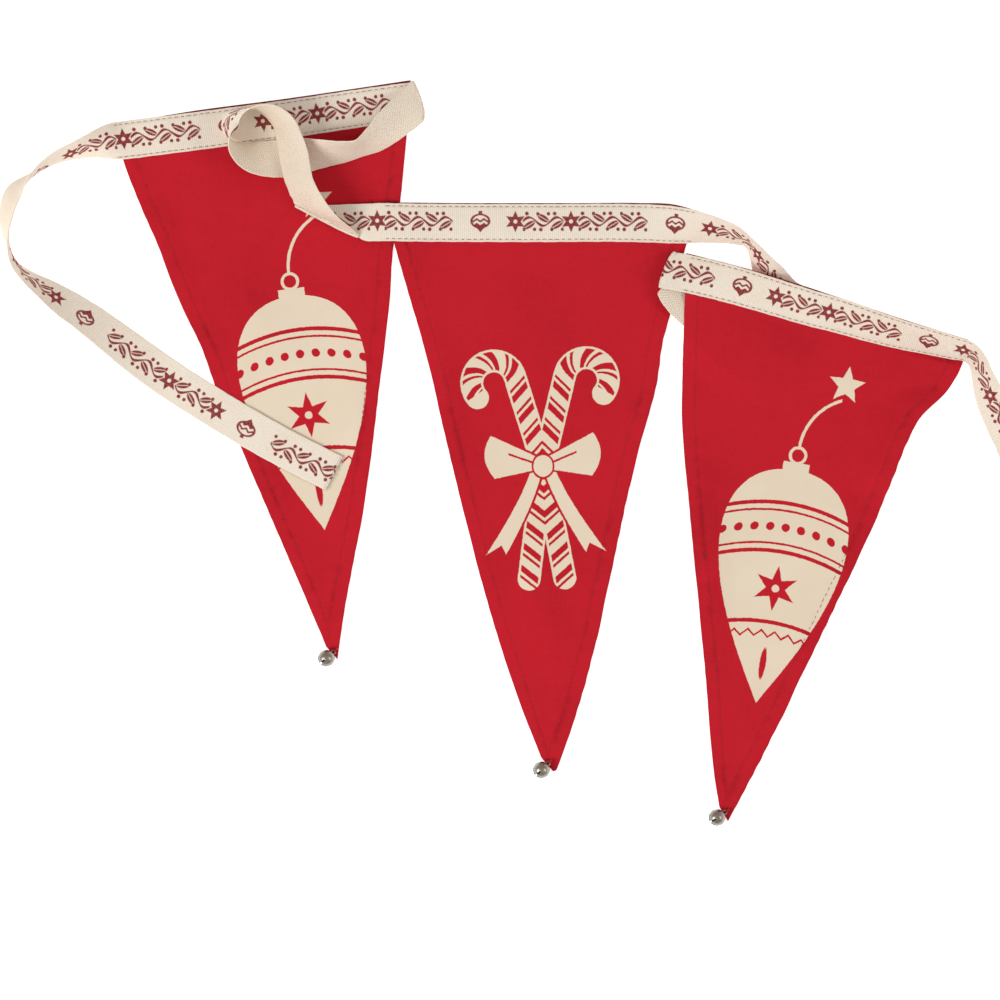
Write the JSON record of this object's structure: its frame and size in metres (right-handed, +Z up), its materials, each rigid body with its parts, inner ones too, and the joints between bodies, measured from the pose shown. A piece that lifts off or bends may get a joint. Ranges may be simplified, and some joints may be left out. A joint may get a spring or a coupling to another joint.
{
  "type": "fabric bunting",
  "caption": "Short fabric bunting lying flat: cloth pennants sewn behind one printed cotton tape with a free tie end at each side and a small bell on each tip.",
  "frame": {"origin": "on the surface that the bunting lies on, under the middle pennant, half way between the middle of its tape and the middle of its bell", "axes": "+X along the bunting to the right of someone who reads the tape, +Y from the pennants' tips towards the tape, +Z up from the surface"},
  "size_m": [0.5451, 0.3841, 0.023],
  "materials": {
    "red_cotton": "matt plain-woven cotton with a cream print",
    "cream_tape": "matt herringbone cotton tape with a dark red print",
    "nickel": "bright nickel plate"
  },
  "bodies": {
    "root": {"pennant_1": "red_cotton", "pennant_2": "red_cotton", "pennant_3": "red_cotton", "tape": "cream_tape", "bell_1": "nickel", "bell_2": "nickel", "bell_3": "nickel"}
  },
  "joints": []
}
